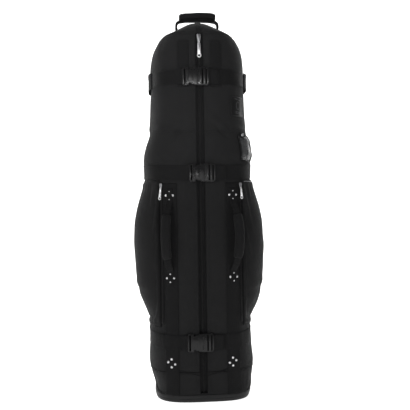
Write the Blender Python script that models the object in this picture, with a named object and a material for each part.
"""Wheeled golf travel bag: a tall padded fabric cover with wheels, shoe pockets and closing straps.

Metres, +Z up.  The front of the bag faces -Y and +X is the bag's right as the viewer sees it.
Every object is one separate piece of the real bag.
"""
import math

import bmesh
import bpy
from mathutils import Matrix, Vector

# ---------------------------------------------------------------- driving dimensions
TOP_Z = 1.283                 # crown of the dome
SECTION_POWER = 3.0           # superellipse power of the plan section
WALL = 0.006                  # padded fabric wall
SEAM = 0.0005                 # half gap at a butted seam
SIDE_SEAM = 1.65              # plan angle of the seam between front and back panels

TRAY_TOP_Z = 0.100
SHOULDER_Z = 0.900            # seam between body and head
CROWN_Z = 1.225               # seam between head and crown

LANE_HALF = 0.012             # half width of the zip lane in the front panels
LANE_BOTTOM_Z = 0.030

WEB_WIDTH = 0.050             # all heavy webbing is 50 mm
WEB_LOW = 0.0006              # first webbing layer, offsets from the fabric
WEB_HIGH = 0.0022
STRAP_LOW = 0.0028            # closing straps run over the first layer
STRAP_HIGH = 0.0044
TAIL_LOW = 0.0050
TAIL_HIGH = 0.0066

HANDLE_WEB_X = 0.105
HANDLE_WEB_Z = (0.024, 0.730)
HANDLE_WEB_TRIM = 0.0048        # its outer edge is turned under to clear the pocket zip
CLUSTER_Z = (0.132, 0.414, 0.688)
RIVET_SPREAD_X = 0.011
CLUSTER_INSET = 0.005         # the lower right cluster sits a little inboard
RIVET_SPREAD_Z = 0.013
RIVET_RADIUS = 0.004

HEAD_STRAP_Z = 1.080
MID_STRAP_Z = 0.762
LOW_STRAP_Z = 0.200
SIDE_RISE = 0.020             # the lower straps climb this much towards the back

BUCKLE_HEIGHT = 0.0595
BUCKLE_LOW = 0.0026
BUCKLE_HIGH = 0.0136
FEMALE_LENGTH = 0.050
MALE_LENGTH = 0.036
PRONG_LENGTH = 0.026
BUCKLE_TRAVEL = 0.028
HEAD_BUCKLE_X = -0.007        # where the two halves meet
MID_BUCKLE_X = 0.011
LOW_BUCKLE_X = -0.002
TAIL_LENGTH = 0.060

POCKET_Z = (0.250, 0.738)
POCKET_FRONT_X = 0.1385
POCKET_BACK_ANGLE = 2.15
POCKET_WALL = 0.0035
POCKET_ZIP_X = 0.1312
POCKET_ZIP_Z = (0.262, 0.731)
POCKET_SLIDER_Z = 0.7185

WHEEL_RADIUS = 0.038
WHEEL_WIDTH = 0.024
WHEEL_X = 0.106
WHEEL_Y = 0.122
HUB_RADIUS = 0.0235
AXLE_RADIUS = 0.004
HOUSING_HALF = 0.0200
HOUSING_WALL = 0.0055
BOLT_ROOM = 0.0045
TOP_HANDLE_X = 0.004          # middle of the grab handle on the crown
TOP_HANDLE_REACH = 0.0728
TOP_HANDLE_FOOT_Z = 1.2640
HOUSING_FRONT_Y = 0.078
HOUSING_TOP_Z = 0.094

# heights and half widths / half depths of the empty body at its seams and bends
WIDTH_STATIONS = (
    (0.000, 0.154), (0.014, 0.1605), (0.045, 0.1650), (0.085, 0.1740), (0.115, 0.1770),
    (0.185, 0.1745), (0.300, 0.1755), (0.745, 0.187), (0.790, 0.1885), (0.822, 0.188),
    (0.848, 0.183), (0.869, 0.177), (0.891, 0.169), (0.914, 0.1655), (0.960, 0.160),
    (1.120, 0.159), (1.165, 0.156), (1.190, 0.1505), (1.2175, 0.136), (1.231, 0.124),
    (1.238, 0.112), (1.249, 0.0905), (1.259, 0.0700), (1.272, 0.0445), (TOP_Z, 0.006),
)
DEPTH_STATIONS = (
    (0.000, 0.145), (0.010, 0.149), (0.030, 0.150), (1.231, 0.150),
    (1.249, 0.140), (1.259, 0.122), (1.272, 0.082), (TOP_Z, 0.012),
)
BULGE_STATIONS = (
    (0.250, 0.000), (0.272, 0.003), (0.300, 0.013), (0.330, 0.0285), (0.360, 0.040),
    (0.400, 0.0465), (0.530, 0.0525), (0.600, 0.0485), (0.650, 0.038), (0.690, 0.0265),
    (0.720, 0.0125), (0.738, 0.000),
)

FABRIC = ((0.022, 0.022, 0.024), 0.85, 0.0)
WEBBING = ((0.016, 0.016, 0.018), 0.70, 0.0)
PLASTIC = ((0.015, 0.015, 0.016), 0.40, 0.0)
RUBBER = ((0.020, 0.020, 0.020), 0.60, 0.0)
METAL = ((0.62, 0.62, 0.64), 0.30, 1.0)
FOAM = ((0.10, 0.10, 0.11), 0.95, 0.0)
CARD = ((0.80, 0.80, 0.78), 0.70, 0.0)
VINYL = ((0.60, 0.62, 0.64), 0.15, 0.0)
NYLON = ((0.030, 0.030, 0.032), 0.55, 0.0)


# ---------------------------------------------------------------- small helpers
def along(stations, z):
    """Straight-line interpolation through (height, value) stations."""
    if z <= stations[0][0]:
        return stations[0][1]
    for (z0, v0), (z1, v1) in zip(stations, stations[1:]):
        if z <= z1:
            return v0 + (v1 - v0) * (z - z0) / (z1 - z0)
    return stations[-1][1]


def steps(low, high, count):
    return [low + (high - low) * i / count for i in range(count + 1)]


def heights(low, high, *more):
    """Station heights inside a span, plus its two ends and any extra ones."""
    inner = [z for z, _ in WIDTH_STATIONS + DEPTH_STATIONS + tuple((m, 0) for m in more)]
    inner = sorted(z for z in set(inner) if low + 0.002 < z < high - 0.002)
    return [low] + inner + [high]


def clear_scene():
    for item in list(bpy.data.objects):
        bpy.data.objects.remove(item, do_unlink=True)


def material(name, look):
    colour, roughness, metallic = look
    made = bpy.data.materials.new(name)
    made.use_nodes = True
    shader = made.node_tree.nodes["Principled BSDF"]
    shader.inputs["Base Color"].default_value = (*colour, 1.0)
    shader.inputs["Roughness"].default_value = roughness
    shader.inputs["Metallic"].default_value = metallic
    return made


def finish(name, mesh_points, faces, look, smooth=False, origin=None, turn=0.0):
    """Make a named object.  With an origin, the points are local to it and turned about Z."""
    mesh = bpy.data.meshes.new(name)
    mesh.from_pydata([tuple(p) for p in mesh_points], [], faces)
    work = bmesh.new()
    work.from_mesh(mesh)
    bmesh.ops.recalc_face_normals(work, faces=work.faces)
    work.to_mesh(mesh)
    work.free()
    made = bpy.data.objects.new(name, mesh)
    bpy.context.scene.collection.objects.link(made)
    mesh.materials.append(material(name, look))
    for polygon in mesh.polygons:
        polygon.use_smooth = smooth
    if origin is not None:
        made.matrix_world = Matrix.Translation(origin) @ Matrix.Rotation(turn, 4, "Z")
    return made


def combine(target, others, operation):
    """Apply exact booleans to target and remove the other objects."""
    for other in others:
        other.hide_render = True
        other.display_type = "WIRE"
        modifier = target.modifiers.new("cut", "BOOLEAN")
        modifier.operation = operation
        modifier.solver = "EXACT"
        modifier.object = other
    bpy.context.view_layer.update()
    graph = bpy.context.evaluated_depsgraph_get()
    result = bpy.data.meshes.new_from_object(target.evaluated_get(graph))
    target.modifiers.clear()
    target.data = result
    for other in others:
        bpy.data.objects.remove(other, do_unlink=True)
    return target


# ---------------------------------------------------------------- the bag's surface
def flat_point(angle, z):
    a = along(WIDTH_STATIONS, z)
    b = along(DEPTH_STATIONS, z)
    s = math.sin(angle)
    c = math.cos(angle)
    power = 2.0 / SECTION_POWER
    x = a * math.copysign(abs(s) ** power, s)
    y = -b * math.copysign(abs(c) ** power, c)
    return Vector((x, y, z))


def plan_normal(angle, z):
    """Outward normal of the plan section, level with the ground."""
    p = flat_point(angle, z)
    a = along(WIDTH_STATIONS, z)
    b = along(DEPTH_STATIONS, z)
    power = SECTION_POWER
    gx = math.copysign((abs(p.x) / a) ** (power - 1) / a, p.x)
    gy = math.copysign((abs(p.y) / b) ** (power - 1) / b, p.y)
    normal = Vector((gx, gy, 0.0))
    return normal.normalized()


def surface(angle, z, offset):
    return flat_point(angle, z) + plan_normal(angle, z) * offset


def angle_at(x, z):
    """Plan angle of the point on the front face at a given x."""
    a = along(WIDTH_STATIONS, z)
    ratio = min(abs(x) / a, 1.0)
    return math.copysign(math.asin(ratio ** (SECTION_POWER / 2.0)), x)


# ---------------------------------------------------------------- solid builders
def grid_shell(name, outer, inner, look, wrap=False):
    """Closed solid between two grids of points, rows by columns."""
    rows = len(outer)
    cols = len(outer[0])
    points = [p for row in outer for p in row] + [p for row in inner for p in row]
    half = rows * cols
    faces = []
    last = cols if wrap else cols - 1
    for i in range(rows - 1):
        for j in range(last):
            k = (j + 1) % cols
            quad = (i * cols + j, i * cols + k, (i + 1) * cols + k, (i + 1) * cols + j)
            faces.append(quad)
            faces.append(tuple(half + q for q in reversed(quad)))
    for j in range(last):
        k = (j + 1) % cols
        top = (rows - 1) * cols
        faces.append((k, j, half + j, half + k))
        faces.append((top + j, top + k, half + top + k, half + top + j))
    if not wrap:
        for i in range(rows - 1):
            for j in (0, cols - 1):
                near = i * cols + j
                far = (i + 1) * cols + j
                faces.append((near, far, half + far, half + near))
    return finish(name, points, faces, look, smooth=False)


def wall_piece(name, start, end, count, z_list, low, high, look, rise=0.0):
    """A patch of wall or webbing lying on the bag between two plan edges.

    start and end take a height and give a plan angle; rise lifts the far side of a level strap.
    """
    outer = []
    inner = []
    for z in z_list:
        angles = steps(start(z), end(z), count)
        levels = [z + rise * (1.0 - math.cos(t)) * 0.5 for t in angles]
        outer.append([surface(t, level, high) for t, level in zip(angles, levels)])
        inner.append([surface(t, level, low) for t, level in zip(angles, levels)])
    return grid_shell(name, outer, inner, look)


def front_piece(name, x_low, x_high, count, z_list, low, high, look):
    """A patch on the front face between two straight vertical edges."""
    outer = []
    inner = []
    for z in z_list:
        angles = [angle_at(x, z) for x in steps(x_low, x_high, count)]
        outer.append([surface(t, z, high) for t in angles])
        inner.append([surface(t, z, low) for t in angles])
    return grid_shell(name, outer, inner, look)


def prism(name, outline, low, high, look, axis="Y", origin=None, turn=0.0):
    """Extrude a flat outline.  Axis Y: outline in (x, z); Z: (x, y); X: (y, z)."""
    def place(u, v, w):
        if axis == "Y":
            return (u, w, v)
        if axis == "X":
            return (w, u, v)
        return (u, v, w)
    count = len(outline)
    points = [place(u, v, low) for u, v in outline] + [place(u, v, high) for u, v in outline]
    faces = [tuple(range(count)), tuple(range(2 * count - 1, count - 1, -1))]
    for i in range(count):
        j = (i + 1) % count
        faces.append((i, j, count + j, count + i))
    return finish(name, points, faces, look, origin=origin, turn=turn)


def box(name, low, high, look):
    corners = [(low[0], low[1]), (high[0], low[1]), (high[0], high[1]), (low[0], high[1])]
    return prism(name, corners, low[2], high[2], look, axis="Z")


def ring_solid(name, profile, centre, look, segments):
    """Turn a closed (radius, x) profile about the X axis through centre."""
    points = []
    faces = []
    count = len(profile)
    for i in range(segments):
        turn = 2.0 * math.pi * i / segments
        for radius, x in profile:
            points.append((x, radius * math.cos(turn), radius * math.sin(turn)))
    for i in range(segments):
        j = (i + 1) % segments
        for k in range(count):
            m = (k + 1) % count
            faces.append((i * count + k, j * count + k, j * count + m, i * count + m))
    return finish(name, points, faces, look, smooth=True, origin=centre)


def rod(name, centre, radius, length, look, axis="X", segments=24):
    outline = [(radius * math.cos(2 * math.pi * i / segments),
                radius * math.sin(2 * math.pi * i / segments)) for i in range(segments)]
    return prism(name, outline, -length / 2, length / 2, look, axis=axis, origin=centre)


def swept(name, path, sides, fronts, outline, look, hole=None, origin=None):
    """Sweep an outline of (side, front) offsets along a path of points."""
    rings = []
    for p, side, front in zip(path, sides, fronts):
        rings.append([p + side * u + front * v for u, v in outline])
    points = [q for ring in rings for q in ring]
    count = len(outline)
    faces = []
    for i in range(len(rings) - 1):
        for j in range(count):
            k = (j + 1) % count
            faces.append((i * count + j, i * count + k, (i + 1) * count + k, (i + 1) * count + j))
    if hole is None:
        faces.append(tuple(range(count)))
        faces.append(tuple(len(points) - count + j for j in range(count)))
    else:
        base = len(points)
        for p, side, front in zip(path, sides, fronts):
            points += [p + side * u + front * v for u, v in hole]
        for i in range(len(rings) - 1):
            for j in range(count):
                k = (j + 1) % count
                quad = (i * count + j, (i + 1) * count + j, (i + 1) * count + k, i * count + k)
                faces.append(tuple(base + q for q in quad))
        tail = (len(rings) - 1) * count
        for j in range(count):
            k = (j + 1) % count
            faces.append((j, k, base + k, base + j))
            faces.append((tail + k, tail + j, base + tail + j, base + tail + k))
    if origin is not None:
        points = [p - Vector(origin) for p in points]
    return finish(name, points, faces, look, smooth=True, origin=origin)


def oval(half_side, half_front, count=12, power=2.6):
    """Rounded outline, the same count for an inner and an outer one."""
    result = []
    for i in range(count):
        t = 2.0 * math.pi * i / count
        c = math.cos(t)
        s = math.sin(t)
        result.append((half_side * math.copysign(abs(c) ** (2 / power), c),
                       half_front * math.copysign(abs(s) ** (2 / power), s)))
    return result


# ---------------------------------------------------------------- body panels
def lane_edge(side, extra=0.0):
    def edge(z):
        return side * angle_at(LANE_HALF + extra, z)
    return edge


def fixed_angle(angle):
    def edge(z):
        return angle
    return edge


def make_tray():
    """Moulded base: a cup with the plan section of the bag, wheel bays and the zip lane cut out."""
    levels = heights(0.0, TRAY_TOP_Z)
    around = steps(0.0, 2.0 * math.pi, 40)[:-1]
    outer = [[surface(t, z, 0.0) for t in around] for z in levels]
    inner_levels = [WALL] + [z for z in levels if z > WALL + 0.004]
    inner = [[surface(t, z, -WALL) for t in around] for z in inner_levels]
    cols = len(around)
    points = [p for row in outer for p in row] + [p for row in inner for p in row]
    base = len(outer) * cols
    faces = []
    for rows, shift in ((len(outer), 0), (len(inner), base)):
        for i in range(rows - 1):
            for j in range(cols):
                k = (j + 1) % cols
                quad = (i * cols + j, i * cols + k, (i + 1) * cols + k, (i + 1) * cols + j)
                faces.append(tuple(shift + q for q in quad))
    faces.append(tuple(range(cols)))
    faces.append(tuple(base + j for j in range(cols)))
    top_out = (len(outer) - 1) * cols
    top_in = base + (len(inner) - 1) * cols
    for j in range(cols):
        k = (j + 1) % cols
        faces.append((top_out + j, top_out + k, top_in + k, top_in + j))
    tray = finish("base_tray", points, faces, PLASTIC)
    cutters = [box("lane_cut", (-LANE_HALF, -0.20, LANE_BOTTOM_Z), (LANE_HALF, -0.10, 0.20), PLASTIC)]
    margin = HOUSING_HALF + BOLT_ROOM
    for side in (-1, 1):
        low = (side * WHEEL_X - margin, HOUSING_FRONT_Y - SEAM, -0.05)
        high = (side * WHEEL_X + margin, 0.25, HOUSING_TOP_Z + SEAM)
        cutters.append(box("bay_cut", low, high, PLASTIC))
    combine(tray, cutters, "DIFFERENCE")


def make_panels():
    body = heights(TRAY_TOP_Z + SEAM, SHOULDER_Z - SEAM, 0.50)
    for side, word in ((-1, "left"), (1, "right")):
        wall_piece("front_panel_" + word, lane_edge(side), fixed_angle(side * (SIDE_SEAM - 0.003)),
                   12, body, -WALL, 0.0, FABRIC)
    wall_piece("back_panel", fixed_angle(SIDE_SEAM + 0.003), fixed_angle(2 * math.pi - SIDE_SEAM - 0.003),
               22, body, -WALL, 0.0, FABRIC)
    head = heights(SHOULDER_Z + SEAM, CROWN_Z - SEAM)

    def hood_end(z):
        return 2 * math.pi - angle_at(LANE_HALF, z)
    wall_piece("head_hood", lane_edge(1), hood_end, 36, head, -WALL, 0.0, FABRIC)
    liner = heights(SHOULDER_Z + 0.012, 1.190)

    def liner_end(z):
        return 2 * math.pi - angle_at(0.034, z)
    wall_piece("head_foam_liner", lane_edge(1, 0.022), liner_end, 36, liner, -0.0180, -0.0090, FOAM)


def make_crown():
    """Closed cap over the head, finished with a small flat at the very top."""
    levels = heights(CROWN_Z + SEAM, TOP_Z)
    around = steps(0.0, 2.0 * math.pi, 36)[:-1]
    cols = len(around)
    outer = [[surface(t, z, 0.0) for t in around] for z in levels]
    inner = []
    for z in levels[:-1]:
        shrink = WALL * (1.0 + 2.2 * (z - CROWN_Z) / (TOP_Z - CROWN_Z))
        drop = min(WALL, 0.5 * WALL * (z - levels[0]) / 0.02)
        inner.append([surface(t, z, -shrink) - Vector((0, 0, drop)) for t in around])
    points = [p for row in outer for p in row] + [p for row in inner for p in row]
    base = len(outer) * cols
    faces = []
    for rows, shift in ((len(outer), 0), (len(inner), base)):
        for i in range(rows - 1):
            for j in range(cols):
                k = (j + 1) % cols
                quad = (i * cols + j, i * cols + k, (i + 1) * cols + k, (i + 1) * cols + j)
                faces.append(tuple(shift + q for q in quad))
    top_out = (len(outer) - 1) * cols
    top_in = base + (len(inner) - 1) * cols
    faces.append(tuple(top_out + j for j in range(cols)))
    faces.append(tuple(top_in + j for j in range(cols)))
    for j in range(cols):
        k = (j + 1) % cols
        faces.append((j, k, base + k, base + j))
    finish("crown_panel", points, faces, FABRIC)


# ---------------------------------------------------------------- webbing, straps and handles
def make_webbing():
    half = WEB_WIDTH / 2
    levels = heights(*HANDLE_WEB_Z)
    for side, word in ((-1, "left"), (1, "right")):
        inner = side * (HANDLE_WEB_X - half)
        outer = side * (HANDLE_WEB_X + half - HANDLE_WEB_TRIM)
        front_piece("handle_webbing_" + word, min(inner, outer), max(inner, outer),
                    6, levels, WEB_LOW, WEB_HIGH, WEBBING)
    head = heights(1.046, 1.205)
    front_piece("head_webbing_right", 0.035, 0.073, 4, head, WEB_LOW, WEB_HIGH, WEBBING)
    front_piece("head_webbing_left", -0.073, -0.035, 4, head, WEB_LOW, WEB_HIGH, WEBBING)


def strap_levels(z):
    return [z - WEB_WIDTH / 2, z + WEB_WIDTH / 2]


def make_strap(word, z, join_x, rise):
    """A strap runs from the socket half round the back to the sewn end near the plug half."""
    left_x = join_x - FEMALE_LENGTH - 0.0005
    right_x = join_x + MALE_LENGTH + BUCKLE_TRAVEL + 0.0015

    def start(level):
        return angle_at(right_x, level)

    def end(level):
        return 2 * math.pi - angle_at(-left_x, level)
    wall_piece(word + "_strap", start, end, 64, strap_levels(z), STRAP_LOW, STRAP_HIGH, WEBBING, rise)
    tail_x = join_x + MALE_LENGTH + 0.0004
    front_piece(word + "_strap_tail", tail_x, tail_x + TAIL_LENGTH, 6, strap_levels(z),
                TAIL_LOW, TAIL_HIGH, WEBBING)


def make_side_loops():
    """Keeper loops standing proud of the head strap at both sides."""
    levels = [HEAD_STRAP_Z - 0.0285, HEAD_STRAP_Z + 0.0285]
    for side, word in ((-1, "left"), (1, "right")):
        outer = []
        inner = []
        for z in levels:
            angles = [side * t for t in steps(math.pi / 2 - 0.30, math.pi / 2 + 0.30, 12)]
            lift = [0.0052 + 0.0060 * math.sin(math.pi * i / 12) ** 0.5 for i in range(13)]
            outer.append([surface(t, z, v + 0.0016) for t, v in zip(angles, lift)])
            inner.append([surface(t, z, v) for t, v in zip(angles, lift)])
        grid_shell("side_loop_" + word, outer, inner, WEBBING)


def make_carry_handle(side, word):
    """Webbing loop bowing out over the shoe pocket zip, with a padded grip round its middle."""
    end_x = side * HANDLE_WEB_X
    end_y = surface(angle_at(end_x, 0.55), 0.55, 0.0).y - 0.0080
    z_low = 0.436
    z_high = 0.666
    pivot = Vector((end_x, end_y, (z_low + z_high) / 2))
    outward = Vector((side * 0.0155, -0.0215, 0.0))
    path = []
    sides = []
    fronts = []
    count = 16
    for i in range(count + 1):
        f = i / count
        bow = math.sin(math.pi * f) ** 0.7 if 0 < i < count else 0.0
        path.append(Vector((end_x, end_y, z_low + (z_high - z_low) * f)) + outward * bow)
        folded = min(1.0, 0.40 + 4.0 * min(f, 1.0 - f))
        sides.append(Vector((folded, 0, 0)))
        fronts.append(Vector((0, -1, 0)))
    flat = [(-0.0110, -0.0011), (0.0110, -0.0011), (0.0110, 0.0011), (-0.0110, 0.0011)]
    swept("carry_handle_web_" + word, path, sides, fronts, flat, WEBBING, origin=pivot)
    low = 3
    high = count - 3
    swept("carry_handle_grip_" + word, path[low:high + 1], sides[low:high + 1], fronts[low:high + 1],
          oval(0.0155, 0.0095), FABRIC, hole=oval(0.0126, 0.0026, power=8.0), origin=pivot)


def make_top_handle():
    """Standing grab handle: edge-on webbing with a padded wrap, feet on the crown."""
    pivot = Vector((TOP_HANDLE_X, 0.0, TOP_HANDLE_FOOT_Z))
    reach = TOP_HANDLE_REACH
    lean = Vector((0, 1, 0))
    shape = [(-reach + 0.0030, 0.0), (-reach - 0.0006, 0.016), (-reach + 0.0008, 0.033), (-reach + 0.0085, 0.0430),
             (-reach * 0.55, 0.0465), (0.0, 0.0470)]
    path = [pivot + Vector((x, 0.0, z)) for x, z in shape]
    path += [pivot + Vector((-x, 0.0, z)) for x, z in reversed(shape[:-1])]
    fronts = []
    for i, p in enumerate(path):
        before = path[max(i - 1, 0)]
        after = path[min(i + 1, len(path) - 1)]
        tangent = (after - before).normalized()
        fronts.append(tangent.cross(lean).normalized())
    sides = [lean] * len(path)
    sides[0] = sides[-1] = lean * 0.30
    flat = [(-0.0125, -0.0012), (0.0125, -0.0012), (0.0125, 0.0012), (-0.0125, 0.0012)]
    swept("top_handle_web", path, sides, fronts, flat, WEBBING, origin=pivot)
    spine = [pivot + Vector((x, 0.0, 0.0)) for x in steps(-0.0610, 0.0610, 6)]
    up = [Vector((0, 0, -1))] * 7
    wrap_outline = [(u, v - 0.0045) for u, v in oval(0.0165, 0.0128)]
    swept("top_handle_grip", path_through(spine, path), [lean] * 7, up, wrap_outline, FABRIC,
          hole=oval(0.0140, 0.0034, power=8.0), origin=pivot)


def path_through(spine, path):
    """Heights of the spine taken from the webbing path, so the grip stays centred on it."""
    result = []
    for p in spine:
        for before, after in zip(path[2:-2], path[3:-1]):
            if before.x <= p.x <= after.x:
                f = (p.x - before.x) / (after.x - before.x)
                result.append(Vector((p.x, 0.0, before.z + (after.z - before.z) * f)))
                break
    return result


# ---------------------------------------------------------------- hardware
def make_buckle(word, z, join_x):
    """Side-release buckle: a hollow socket half and a plug half with three prongs."""
    front = -0.150 - BUCKLE_HIGH
    back = -0.150 - BUCKLE_LOW
    half = BUCKLE_HEIGHT / 2
    left = join_x - FEMALE_LENGTH
    female = prism(word + "_buckle_socket",
                   [(left, z - half + 0.004), (left + 0.004, z - half), (join_x, z - half),
                    (join_x, z + half), (left + 0.004, z + half), (left, z + half - 0.004)],
                   front, back, PLASTIC)
    cavity = box("cavity", (join_x - 0.034, front + 0.0022, z - half + 0.0026),
                 (join_x + 0.01, back - 0.0022, z + half - 0.0026), PLASTIC)
    slot = box("slot", (left + 0.005, front - 0.01, z - 0.026), (left + 0.0095, back + 0.01, z + 0.026),
               PLASTIC)
    combine(female, [cavity, slot], "DIFFERENCE")
    right = join_x + MALE_LENGTH
    edge = join_x + 0.0005
    tip = join_x - PRONG_LENGTH
    outline = [(edge, z - half), (right - 0.004, z - half), (right, z - half + 0.004),
               (right, z + half - 0.004), (right - 0.004, z + half), (edge, z + half),
               (edge, z + half - 0.0032), (tip + 0.004, z + half - 0.0032), (tip, z + half - 0.0072),
               (tip, z + half - 0.0110), (edge, z + half - 0.0110),
               (edge, z + 0.0070), (tip + 0.003, z + 0.0050), (tip, z + 0.0020),
               (tip, z - 0.0020), (tip + 0.003, z - 0.0050), (edge, z - 0.0070),
               (edge, z - half + 0.0110), (tip, z - half + 0.0110), (tip, z - half + 0.0072),
               (tip + 0.004, z - half + 0.0032), (edge, z - half + 0.0032)]
    male = prism(word + "_buckle_plug", outline, front + 0.0027, back - 0.0027, PLASTIC)
    slots = []
    for x in (right - 0.0100, right - 0.0190):
        slots.append(box("slot", (x - 0.0025, front - 0.01, z - 0.026), (x + 0.0025, back + 0.01, z + 0.026),
                         PLASTIC))
    combine(male, slots, "DIFFERENCE")


def make_clusters():
    """Four domed rivet heads on a thin diamond-shaped backing plate, six times."""
    for side, word in ((-1, "left"), (1, "right")):
        for z, level in zip(CLUSTER_Z, ("low", "mid", "high")):
            x = side * HANDLE_WEB_X - (CLUSTER_INSET if (side, level) == (1, "low") else 0.0)
            angle = angle_at(x, z)
            seat = surface(angle, z, 0.0)
            normal = plan_normal(angle, z)
            turn = math.atan2(normal.x, -normal.y)
            reach_x = RIVET_SPREAD_X + 0.0055
            reach_z = RIVET_SPREAD_Z + 0.0055
            plate = prism("rivet_cluster_" + word + "_" + level,
                          [(-reach_x, 0.0), (0.0, -reach_z), (reach_x, 0.0), (0.0, reach_z)],
                          -0.0036, -0.0030, METAL, origin=seat, turn=turn)
            heads = []
            for dx, dz in ((-RIVET_SPREAD_X, 0), (RIVET_SPREAD_X, 0), (0, -RIVET_SPREAD_Z), (0, RIVET_SPREAD_Z)):
                ring = [(dx + RIVET_RADIUS * math.cos(2 * math.pi * (i + 0.37) / 8),
                         dz + RIVET_RADIUS * math.sin(2 * math.pi * (i + 0.37) / 8)) for i in range(8)]
                heads.append(prism("head", ring, -0.0052, -0.0032, METAL, origin=seat, turn=turn))
            combine(plate, heads, "UNION")


def slider_outline(height, width):
    h = height / 2
    w = width / 2
    return [(-w * 0.55, -h), (w * 0.55, -h), (w * 0.80, -h * 0.2), (w, h * 0.35), (w * 0.75, h),
            (-w * 0.75, h), (-w, h * 0.35), (-w * 0.80, -h * 0.2)]


def pull_outline(length, width):
    w = width / 2
    return [(-0.0021, 0.0009), (0.0021, 0.0009), (0.0021, -0.006), (w, -0.012), (w, -length + 0.003),
            (w * 0.5, -length), (-w * 0.5, -length), (-w, -length + 0.003), (-w, -0.012), (-0.0021, -0.006)]


def make_zip(word, seat, turn, base, height, width, pull_length, pull_width, hinge_drop):
    """A slider with two hinge ears and its pull tab.

    seat is the fabric point under the slider's middle, base the offset of the slider's back face.
    """
    axis_out = base + 0.0037
    hinge_z = -hinge_drop
    plate = prism(word + "_slider", slider_outline(height, width), -base - 0.0024, -base, METAL,
                  origin=seat, turn=turn)
    ears = []
    for side in (-1, 1):
        low = min(side * 0.0026, side * 0.0044)
        outline = [(low, hinge_z - 0.0020), (low + 0.0018, hinge_z - 0.0020),
                   (low + 0.0018, hinge_z + 0.0045), (low, hinge_z + 0.0045)]
        ears.append(prism("ear", outline, -axis_out - 0.0012, -base - 0.0012, METAL, origin=seat, turn=turn))
    combine(plate, ears, "UNION")
    front = Matrix.Rotation(turn, 3, "Z") @ Vector((0, -1, 0))
    hinge = Vector(seat) + front * axis_out + Vector((0, 0, hinge_z))
    pull = prism(word + "_pull", pull_outline(pull_length, pull_width), -0.0008, 0.0008, METAL,
                 origin=hinge, turn=turn)
    hole = prism("hole", [(-0.0016, -pull_length + 0.011), (0.0016, -pull_length + 0.011),
                          (0.0016, -pull_length + 0.006), (-0.0016, -pull_length + 0.006)],
                 -0.01, 0.01, METAL, origin=hinge, turn=turn)
    combine(pull, [hole], "DIFFERENCE")


def chain_outline(base, half_tape, tape, half_coil, coil):
    """Plan outline of a zip: flat tape with the coil standing on it, front towards -Y."""
    return [(-half_tape, -base), (half_tape, -base), (half_tape, -base - tape),
            (half_coil, -base - tape), (half_coil, -base - tape - coil),
            (-half_coil, -base - tape - coil), (-half_coil, -base - tape), (-half_tape, -base - tape)]


def make_main_zip():
    outline = [(x, y - 0.150) for x, y in chain_outline(-0.0080, 0.0165, 0.0013, 0.0035, 0.0016)]
    prism("main_zip_chain", outline, LANE_BOTTOM_Z + 0.001, CROWN_Z - 0.003, NYLON, axis="Z")
    make_zip("main_zip", Vector((0.0, -0.150, 1.209)), 0.0, -0.0047, 0.030, 0.013, 0.052, 0.0105, 0.0115)


def pocket_seat(side, z):
    angle = angle_at(side * POCKET_ZIP_X, z)
    return surface(angle, z, 0.0), plan_normal(angle, z)


def make_pocket_zip(side, word):
    low_point, _ = pocket_seat(side, POCKET_ZIP_Z[0])
    high_point, _ = pocket_seat(side, POCKET_ZIP_Z[1])
    _, normal = pocket_seat(side, 0.5)
    turn = math.atan2(normal.x, -normal.y)
    spin = Matrix.Rotation(turn, 3, "Z")
    outline = chain_outline(0.0009, 0.0052, 0.0010, 0.0024, 0.0012)
    points = []
    for end in (low_point, high_point):
        points += [end + spin @ Vector((u, v, 0.0)) for u, v in outline]
    count = len(outline)
    faces = [tuple(range(count)), tuple(range(2 * count - 1, count - 1, -1))]
    for i in range(count):
        j = (i + 1) % count
        faces.append((i, j, count + j, count + i))
    finish("pocket_zip_chain_" + word, points, faces, NYLON)
    f = (POCKET_SLIDER_Z - POCKET_ZIP_Z[0]) / (POCKET_ZIP_Z[1] - POCKET_ZIP_Z[0])
    seat = low_point.lerp(high_point, f)
    make_zip("pocket_zip_" + word, seat, turn, 0.0034, 0.020, 0.0098, 0.038, 0.0085, 0.0060)


def make_pocket(side, word):
    """Bulging shoe pocket, open towards the bag."""
    levels = [z for z, _ in BULGE_STATIONS]
    count = 18
    outer = []
    inner = []
    for z in levels:
        start = angle_at(POCKET_FRONT_X, z)
        angles = steps(start, POCKET_BACK_ANGLE, count)
        bulge = along(BULGE_STATIONS, z)
        row_out = []
        row_in = []
        for i, t in enumerate(angles):
            swell = 0.0 if i in (0, count) else math.sin(math.pi * i / count) ** 0.65
            lift = 0.0010 + bulge * swell * 0.96
            thick = POCKET_WALL
            row_out.append(surface(side * t, z, lift + thick))
            row_in.append(surface(side * t, z, lift))
        outer.append(row_out)
        inner.append(row_in)
    grid_shell("shoe_pocket_" + word, outer, inner, FABRIC)


def make_labels():
    """Plain rubber patch and a clear holder with its blank card on the right shoulder."""
    front_piece("side_patch", 0.104, 0.148, 4, [0.952, 0.960, 1.018], WEB_LOW, 0.0021, RUBBER)
    window = heights(0.800, 0.888)
    wall_piece("id_card", fixed_angle(0.73), fixed_angle(1.14), 4, heights(0.806, 0.880),
               0.0007, 0.0011, CARD)
    wall_piece("id_window", fixed_angle(0.68), fixed_angle(1.20), 5, window, 0.0019, 0.0027, VINYL)


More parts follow.
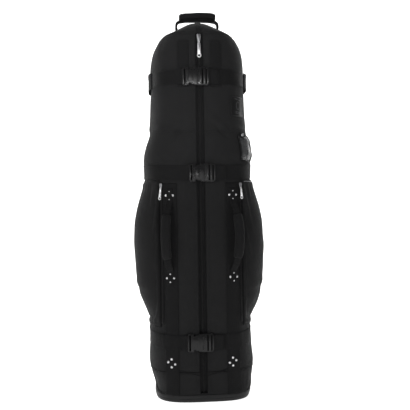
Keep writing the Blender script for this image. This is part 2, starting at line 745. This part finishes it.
# ---------------------------------------------------------------- wheels
def make_wheel(side, word):
    centre = Vector((side * WHEEL_X, WHEEL_Y, WHEEL_RADIUS))
    half = WHEEL_WIDTH / 2
    tyre = [(HUB_RADIUS + 0.0004, -0.0095), (0.0290, -half + 0.0005), (0.0340, -0.0095), (0.0370, -0.0055),
            (WHEEL_RADIUS, 0.0), (0.0370, 0.0055), (0.0340, 0.0095), (0.0290, half - 0.0005),
            (HUB_RADIUS + 0.0004, 0.0095)]
    ring_solid("wheel_tyre_" + word, tyre, centre, RUBBER, 30)
    hub = [(AXLE_RADIUS + 0.0004, -half), (0.0110, -half), (0.0120, -0.0085), (0.0200, -0.0075),
           (HUB_RADIUS, -0.0090), (HUB_RADIUS, 0.0090), (0.0200, 0.0075), (0.0120, 0.0085),
           (0.0110, half), (AXLE_RADIUS + 0.0004, half)]
    ring_solid("wheel_hub_" + word, hub, centre, PLASTIC, 24)
    low = (side * WHEEL_X - HOUSING_HALF, HOUSING_FRONT_Y, 0.010)
    high = (side * WHEEL_X + HOUSING_HALF, 0.1480, HOUSING_TOP_Z)
    housing = box("wheel_housing_" + word, low, high, PLASTIC)
    inner = HOUSING_HALF - HOUSING_WALL
    bay = box("bay", (side * WHEEL_X - inner, HOUSING_FRONT_Y + 0.0035, -0.05),
              (side * WHEEL_X + inner, 0.25, HOUSING_TOP_Z - 0.0040), PLASTIC)
    bore = rod("bore", centre, AXLE_RADIUS + 0.0004, 0.08, PLASTIC)
    combine(housing, [bay, bore], "DIFFERENCE")
    bolt = rod("axle_bolt_" + word, centre, AXLE_RADIUS, 2 * HOUSING_HALF + 0.002, METAL)
    heads = []
    for end in (-1, 1):
        spot = centre + Vector((end * (HOUSING_HALF + 0.0021), 0, 0))
        heads.append(rod("head", spot, 0.0068, 0.0034, METAL, segments=6))
    combine(bolt, heads, "UNION")


def main():
    clear_scene()
    make_tray()
    make_panels()
    make_crown()
    make_webbing()
    make_strap("head", HEAD_STRAP_Z, HEAD_BUCKLE_X, 0.0)
    make_strap("mid", MID_STRAP_Z, MID_BUCKLE_X, SIDE_RISE)
    make_strap("low", LOW_STRAP_Z, LOW_BUCKLE_X, SIDE_RISE)
    make_side_loops()
    make_top_handle()
    make_buckle("head", HEAD_STRAP_Z, HEAD_BUCKLE_X)
    make_buckle("mid", MID_STRAP_Z, MID_BUCKLE_X)
    make_buckle("low", LOW_STRAP_Z, LOW_BUCKLE_X)
    make_clusters()
    make_main_zip()
    for side, word in ((-1, "left"), (1, "right")):
        make_carry_handle(side, word)
        make_pocket(side, word)
        make_pocket_zip(side, word)
        make_wheel(side, word)
    make_labels()


main()
